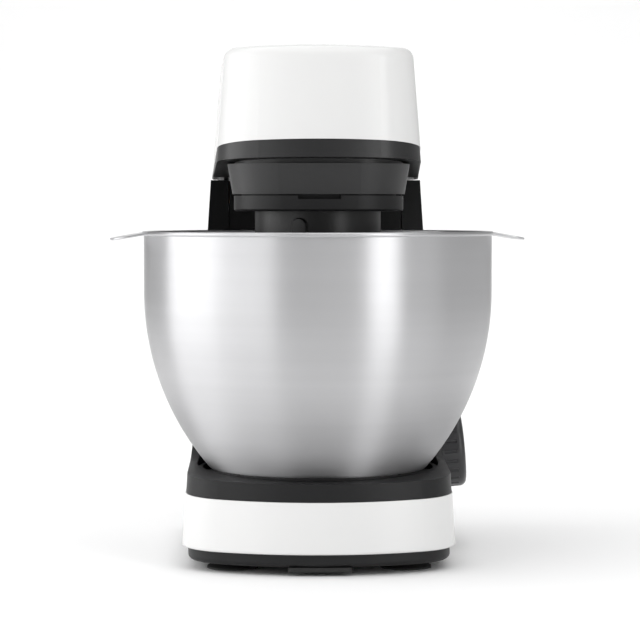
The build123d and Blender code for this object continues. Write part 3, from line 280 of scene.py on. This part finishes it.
bowl_steel = turned_steel("bowl_steel", bowl_axis, (0.60, 0.60, 0.61), 0.40)
plain_steel = plain_metal("plain_steel", (0.55, 0.55, 0.56), 0.32)
bright_wire = plain_metal("bright_wire", (0.78, 0.78, 0.79), 0.12, 900.0, 0.000004)
cast_alloy = plain_metal("cast_alloy", (0.50, 0.50, 0.51), 0.48, 420.0, 0.00004)
bronze = plain_metal("bronze", (0.55, 0.36, 0.16), 0.38)
copper = plain_metal("copper", (0.70, 0.33, 0.16), 0.35)
nylon = gloss_plastic("nylon", (0.72, 0.70, 0.62), 0.42)
board_green = grained_plastic("board_green", (0.02, 0.12, 0.05), 0.4)
carbon = grained_plastic("carbon", (0.02, 0.02, 0.02), 0.6)
pointer_white = gloss_plastic("pointer_white", (0.8, 0.8, 0.8), 0.35)
print("metals:", bowl_steel.name, plain_steel.name, cast_alloy.name)

# %% Give every mechanical piece its finish
finish_of_slot = {
    "white_shell": white_plastic,
    "black_case": black_plastic,
    "dark_grey_case": grey_plastic,
    "bowl_steel": bowl_steel,
    "steel": plain_steel,
    "chrome_wire": bright_wire,
    "cast_alloy": cast_alloy,
    "rubber": soft_rubber,
    "bronze": bronze,
    "gear_nylon": nylon,
    "copper": copper,
    "board": board_green,
    "knob_plastic": knob_plastic,
    "pointer": pointer_white,
    "carbon": carbon,
}
slot_of_node = {s["node"]: s["material_slot"] for s in frame["record"]["subparts"]}
for name, piece in nodes.items():
    piece.data.materials.clear()
    piece.data.materials.append(finish_of_slot[slot_of_node[name]])
    piece.data.shade_smooth()
    piece.data.set_sharp_from_angle(angle=math.radians(30))
print("dressed", len(nodes), "mechanical pieces")

# %% [markdown]
# ## The bowl
#
# The real bowl is one disc of steel, pressed to a rounded cup and rolled over at the
# rim, with two thin ears welded on for lifting. A revolved outline is the natural way
# to make it: the outline is drawn once, as the press and the rolling tool leave it, and
# then turned round the axis in small steps so that the reflections stay unbroken.

# %% The bowl's outline
rim_top = max(v.co.z for v in nodes["bowl"].data.vertices)
wall_radius = 0.1049
straight_wall = 0.0365
wall_start = rim_top - straight_wall
side_arc = 0.162
sheet = 0.001
corner = 0.009
roll = 0.0013


def arc_points(centre, radius, start, end, steps):
    """Points on an arc in (radius, height), angles in degrees."""
    points = []
    for i in range(steps + 1):
        angle = math.radians(start + (end - start) * i / steps)
        points.append((centre[0] + radius * math.cos(angle), centre[1] + radius * math.sin(angle)))
    return points


def bowl_outline():
    """The section of the sheet, from the middle of the bottom, out, up and back inside."""
    side_centre = (wall_radius - side_arc, wall_start)
    corner_z = bowl_floor_z + corner
    reach = math.sqrt((side_arc - corner) ** 2 - (wall_start - corner_z) ** 2)
    corner_centre = (side_centre[0] + reach, corner_z)
    turn = math.degrees(math.atan2(corner_z - wall_start, reach))
    rim_centre = (wall_radius, rim_top - roll)
    inside_turn = math.degrees(math.acos(-sheet / roll))
    outline = [(0.0, bowl_floor_z)]
    outline += arc_points(corner_centre, corner, -90, turn, 8)
    outline += arc_points(side_centre, side_arc, turn, 0, 40)[1:]
    outline += arc_points(rim_centre, roll, -90, inside_turn, 12)
    outline += arc_points(side_centre, side_arc - sheet, 0, turn, 40)
    outline += arc_points(corner_centre, corner - sheet, turn, -90, 8)[1:]
    outline.append((0.0, bowl_floor_z + sheet))
    return outline


print("outline points:", len(bowl_outline()))

# %% Turn the outline round the axis
def turned_mesh(name, outline, steps, centre):
    """Revolves a (radius, height) outline whose two ends lie on the axis."""
    mesh = bmesh.new()
    first = mesh.verts.new((centre[0], centre[1], outline[0][1]))
    last = mesh.verts.new((centre[0], centre[1], outline[-1][1]))
    rings = []
    for i in range(steps):
        angle = 2 * math.pi * i / steps
        side = (math.cos(angle), math.sin(angle))
        rings.append([
            mesh.verts.new((centre[0] + r * side[0], centre[1] + r * side[1], z))
            for r, z in outline[1:-1]
        ])
    for i, ring in enumerate(rings):
        after = rings[(i + 1) % steps]
        mesh.faces.new((first, after[0], ring[0]))
        mesh.faces.new((last, ring[-1], after[-1]))
        for j in range(len(ring) - 1):
            mesh.faces.new((ring[j], after[j], after[j + 1], ring[j + 1]))
    return finished_mesh(mesh, name)


def finished_mesh(mesh, name, sharp=35):
    """Turns a bmesh into an object in the scene, smooth but for its sharp edges."""
    bmesh.ops.recalc_face_normals(mesh, faces=mesh.faces)
    data = bpy.data.meshes.new(name)
    mesh.to_mesh(data)
    mesh.free()
    data.shade_smooth()
    data.set_sharp_from_angle(angle=math.radians(sharp))
    piece = bpy.data.objects.new(name, data)
    bpy.context.scene.collection.objects.link(piece)
    return piece


polished_bowl = turned_mesh("polished_bowl", bowl_outline(), 256, bowl_axis)
polished_bowl.data.materials.append(bowl_steel)
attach(polished_bowl, "bowl")
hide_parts("bowl")
print("bowl faces:", len(polished_bowl.data.polygons))

# %% [markdown]
# The ears are flat tongues with rounded outer corners, bent a little downwards. Their
# edges were broken after stamping, and that thin bevel is what catches the light.

# %% The bowl's ears
ear_reach = 0.0201
ear_half = 0.021
ear_corner = 0.0095
ear_sheet = 0.0012
ear_droop = math.radians(10)
ear_root = 0.0007
broken_edge = 0.0003
bowl_rest_turn = math.radians(7)


def ear_outline():
    """The tongue from above: x runs out from the wall, y along it."""
    tip = (ear_reach - ear_corner, ear_half - ear_corner)
    rounded = arc_points(tip, ear_corner, 0, 90, 10)
    half = rounded + [(-ear_root, ear_half)]
    return [(x, -y) for x, y in reversed(half)] + half


def make_ear(name, turn):
    """One bevelled tongue, set at an angle round the bowl."""
    mesh = bmesh.new()
    floor = [mesh.verts.new((x, y, -ear_sheet / 2)) for x, y in ear_outline()]
    face = mesh.faces.new(floor)
    raised = bmesh.ops.extrude_face_region(mesh, geom=[face])["geom"]
    top = [g for g in raised if isinstance(g, bmesh.types.BMVert)]
    bmesh.ops.translate(mesh, verts=top, vec=(0, 0, ear_sheet))
    rims = [e for e in mesh.edges if abs(e.verts[0].co.z - e.verts[1].co.z) < ear_sheet / 2]
    bmesh.ops.bevel(
        mesh, geom=rims, offset=broken_edge, segments=2, profile=0.5, affect="EDGES"
    )
    bend = Matrix.Rotation(ear_droop, 4, "Y")
    place = Matrix.Translation(Vector((wall_radius, 0, rim_top - roll)))
    around = Matrix.Translation(bowl_axis) @ Matrix.Rotation(turn, 4, "Z")
    mesh.transform(around @ place @ bend)
    ear = finished_mesh(mesh, name)
    ear.data.materials.append(bowl_steel_flat)
    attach(ear, "bowl")
    return ear


bowl_steel_flat = plain_metal("bowl_steel_flat", (0.55, 0.55, 0.56), 0.3, 1200.0, 0.000004)
make_ear("bowl_ear_right", bowl_rest_turn)
make_ear("bowl_ear_left", bowl_rest_turn + math.pi)
print("ears made, tip to tip", round(2 * (wall_radius + ear_reach), 4), "m")

# %% [markdown]
# ## The latch spring
#
# A coil spring under the latch pawl pushes it up again when the button is let go. The
# rigid coil of the mechanical model can't shorten, so the pawl would sink into it. The
# coil is made again here as a wire swept along a helix, point by point, as a mesh of
# even rings, and is given its own copy of that mesh.

# %% The latch spring's coil
spring_low, spring_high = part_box("latch_spring")
spring_wire = 0.00045
spring_turns = 17.0 / 3.0      # coiled height over pitch
spring_steps = 180
wire_sides = 8
spring_length = spring_high.z - spring_low.z
spring_radius = (spring_high.x - spring_low.x) / 2 - spring_wire
spring_middle = (spring_low + spring_high) / 2


def coil_mesh(name):
    """A round wire swept up a helix, closed at both ends."""
    mesh = bmesh.new()
    rise = spring_length - 2 * spring_wire
    rings = []
    for i in range(spring_steps + 1):
        turn = 2 * math.pi * spring_turns * i / spring_steps
        out = Vector((math.cos(turn), math.sin(turn), 0.0))
        centre = Vector((spring_middle.x, spring_middle.y, spring_low.z + spring_wire))
        centre += out * spring_radius + Vector((0.0, 0.0, rise * i / spring_steps))
        ring = []
        for k in range(wire_sides):
            angle = 2 * math.pi * k / wire_sides
            up = Vector((0.0, 0.0, math.sin(angle)))
            ring.append(mesh.verts.new(centre + (out * math.cos(angle) + up) * spring_wire))
        rings.append(ring)
    for ring, after in zip(rings, rings[1:]):
        for k in range(wire_sides):
            following = (k + 1) % wire_sides
            mesh.faces.new((ring[k], ring[following], after[following], after[k]))
    mesh.faces.new(rings[0])
    mesh.faces.new(rings[-1])
    return finished_mesh(mesh, name)


latch_coil = coil_mesh("latch_coil")
latch_coil.data.materials.append(plain_steel)
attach(latch_coil, "base")
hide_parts("latch_spring")
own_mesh(latch_coil)
print("latch spring", round(spring_length * 1000, 1), "mm long at rest")

# %% [markdown]
# ## Floor, light and camera
#
# A product picture wants a pale floor that runs into a pale background, and large
# soft lights. White plastic shows its form only through the slow fall of light
# across it, and steel shows whatever stands round it, so the lights are big panels.

# %% The floor and its backdrop
def paper_sheet(name, rows, half):
    """A pale paper sheet through a side outline of (y, z) rows."""
    sheet_mesh = bpy.data.meshes.new(name)
    points = [(x, y, z) for y, z in rows for x in (-half, half)]
    faces = [(2 * i, 2 * i + 1, 2 * i + 3, 2 * i + 2) for i in range(len(rows) - 1)]
    sheet_mesh.from_pydata(points, [], faces)
    sheet = bpy.data.objects.new(name, sheet_mesh)
    bpy.context.scene.collection.objects.link(sheet)
    sheet_mesh.materials.append(studio_paper)
    sheet_mesh.shade_smooth()
    return sheet


studio_paper, paper_tree, paper_shader = start_material("studio_paper", (0.94, 0.94, 0.94), 0.85)
add_bump(paper_tree, paper_shader, noise(paper_tree, object_position(paper_tree), 300.0), 0.00005)
floor_half = 5.0
floor_end = 1.6
paper_sheet("studio_floor", [(-floor_half, 0.0), (floor_end, 0.0)], floor_half)
bend_start = 2.0
bend_radius = 1.2
bend_steps = 16
backdrop_top = 2.4
backdrop_half = 0.9
backdrop_rows = [(floor_end, 0.0), (bend_start, 0.0)]
for step in range(1, bend_steps + 1):
    turn = math.pi / 2 * step / bend_steps
    bend_y = bend_start + bend_radius * math.sin(turn)
    backdrop_rows.append((bend_y, bend_radius * (1 - math.cos(turn))))
backdrop_rows.append((bend_start + bend_radius, backdrop_top))
paper_sheet("studio_backdrop", backdrop_rows, backdrop_half)
print("floor and backdrop made")

# %% [markdown]
# The lights are panels hung round the mixer. A wide bank on the left gives the white
# shell and the steel their bright side. A narrow strip on the right draws the second
# streak down the bowl. Between the two, round the camera, the air is left dimmer, and
# that is what makes the bowl's middle and the black parts dark.

# %% The lights
light_target = Vector((bowl_axis.x, bowl_axis.y, 0.16))


def add_panel(name, turn, reach, height, size, glow):
    """A panel aimed at the mixer: turn is degrees right of the front, glow its brightness."""
    light = bpy.data.lights.new(name, "AREA")
    light.shape = "RECTANGLE"
    light.size, light.size_y = size
    light.energy = glow * math.pi * size[0] * size[1]
    panel = bpy.data.objects.new(name, light)
    angle = math.radians(turn)
    away = Vector((reach * math.sin(angle), -reach * math.cos(angle), height))
    panel.location = light_target + away
    aim = light_target - panel.location
    panel.rotation_euler = aim.to_track_quat("-Z", "Y").to_euler()
    bpy.context.scene.collection.objects.link(panel)
    return panel


panels = (
    ("bank_left", -92, 1.5, 0.35, (1.2, 1.5), 2.2),
    ("bank_front_left", -50, 1.6, 0.4, (1.3, 1.5), 1.35),
    ("strip_right", 42, 1.6, 0.35, (0.55, 1.5), 2.9),
    ("fill_right", 74, 1.8, 0.5, (0.7, 1.4), 0.25),
    ("front_high", 20, 1.2, 1.7, (1.0, 0.8), 0.9),
)
for row in panels:
    add_panel(*row)
sky_light = bpy.data.lights.new("sky_light", "SUN")
sky_light.energy = 1.43
sky_light.angle = math.radians(75)
bpy.context.scene.collection.objects.link(bpy.data.objects.new("sky_light", sky_light))
backdrop_wash = add_panel("backdrop_wash", 180, 1.2, 2.2, (2.4, 1.0), 3.0)
backdrop_wash.rotation_euler = (math.radians(52), 0.0, 0.0)
world = bpy.data.worlds.new("studio_air")
world.use_nodes = True
air = world.node_tree
dim_air = air.nodes["Background"]
dim_air.inputs["Color"].default_value = (1.0, 1.0, 1.0, 1.0)
dim_air.inputs["Strength"].default_value = 0.36
white_air = air.nodes.new("ShaderNodeBackground")
white_air.inputs["Color"].default_value = (1.0, 1.0, 1.0, 1.0)
white_air.inputs["Strength"].default_value = 1.0
rays = air.nodes.new("ShaderNodeLightPath")
choice = air.nodes.new("ShaderNodeMixShader")
air.links.new(rays.outputs["Is Camera Ray"], choice.inputs["Fac"])
air.links.new(dim_air.outputs["Background"], choice.inputs[1])
air.links.new(white_air.outputs["Background"], choice.inputs[2])
air.links.new(choice.outputs["Shader"], air.nodes["World Output"].inputs["Surface"])
bpy.context.scene.world = world
bpy.context.scene.view_settings.view_transform = "Standard"
print("studio ready")

# %% The camera
camera_distance = 1.5
camera_height = 0.211
camera_side = math.radians(-1.0)
camera_dip = math.radians(2.5)
camera_turn = math.radians(-0.05)
lens = bpy.data.cameras.new("camera")
lens.lens = 139.6
lens.clip_end = 30.0
camera = bpy.data.objects.new("camera", lens)
camera.location = (
    bowl_axis.x + camera_distance * math.sin(camera_side),
    bowl_axis.y - camera_distance * math.cos(camera_side),
    camera_height,
)
camera.rotation_euler = (math.pi / 2 - camera_dip, 0.0, camera_side + camera_turn)
bpy.context.scene.collection.objects.link(camera)
bpy.context.scene.camera = camera
print("camera at", tuple(round(v, 3) for v in camera.location))
